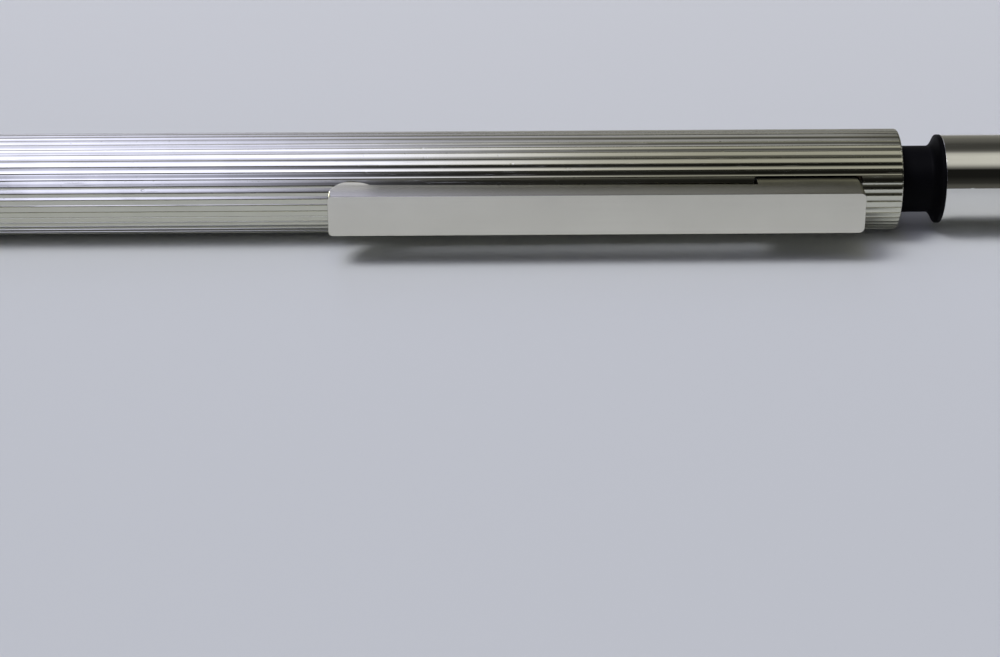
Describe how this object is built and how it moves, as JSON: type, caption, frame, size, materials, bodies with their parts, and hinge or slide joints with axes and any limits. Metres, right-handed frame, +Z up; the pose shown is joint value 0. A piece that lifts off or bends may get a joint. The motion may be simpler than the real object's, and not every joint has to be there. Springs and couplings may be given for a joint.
{
  "type": "ballpoint pen",
  "caption": "Retractable ballpoint pen with a fluted metal barrel, a hinged folded clip, a tapered nose and a push button on a black neck.",
  "frame": {"origin": "middle of the pen's bounding box, on the surface it lies on", "axes": "+X along the pen from the nose to the button, +Z up, clip towards -Y"},
  "size_m": [0.1376, 0.0122, 0.009],
  "materials": {
    "fluted_silver": "polished, with fine nicks on the flutes",
    "smooth_silver": "polished",
    "chrome": "mirror polished",
    "satin_steel": "satin, brushed along the clip",
    "black_plastic": "gloss",
    "brass": "turned",
    "grey_plastic": "moulded",
    "white_plastic": "moulded",
    "spring_steel": "drawn",
    "nickel_silver": "turned",
    "carbide": "ground",
    "ink": "paste"
  },
  "bodies": {
    "barrel_body": {"barrel": "fluted_silver", "nose_cone": "smooth_silver", "nose_bush": "brass", "rear_bush": "brass", "cam_sleeve": "grey_plastic", "clip_hinge_pin": "spring_steel", "clip_spring": "spring_steel", "return_spring": "spring_steel"},
    "button_body": {"plunger": "white_plastic", "neck_collar": "black_plastic", "push_button": "chrome"},
    "rotor_body": {"cam_rotor": "brass"},
    "refill_body": {"refill_tube": "spring_steel", "refill_nose_tube": "brass", "refill_point": "nickel_silver", "writing_ball": "carbide", "refill_plug": "white_plastic", "ink_column": "ink"},
    "clip_body": {"clip": "satin_steel"}
  },
  "joints": [
    {"name": "button_press", "type": "slide", "parent": "barrel_body", "child": "button_body", "axis": [-1, 0, 0], "range_m": [0, 0.005], "stiffness_N_per_m": 200, "springref_m": -0.004, "deforming": ["return_spring"]},
    {"name": "rotor_feed", "type": "slide", "parent": "barrel_body", "child": "rotor_body", "axis": [-1, 0, 0], "range_m": [0, 0.005]},
    {"name": "refill_feed", "type": "slide", "parent": "barrel_body", "child": "refill_body", "axis": [-1, 0, 0], "range_m": [0, 0.005]},
    {"name": "clip_lift", "type": "hinge", "parent": "barrel_body", "child": "clip_body", "pos_m": [0.04571, -0.00095, 0.00467], "axis": [0, 0.0654, 0.9979], "range_deg": [0, 4], "stiffness_Nm_per_rad": 0.05, "springref_deg": -5.73, "deforming": ["clip_spring"]}
  ],
  "couplings": [
    {"joint": "rotor_feed", "follows": "button_press", "ratio": 1},
    {"joint": "refill_feed", "follows": "button_press", "ratio": 1}
  ]
}
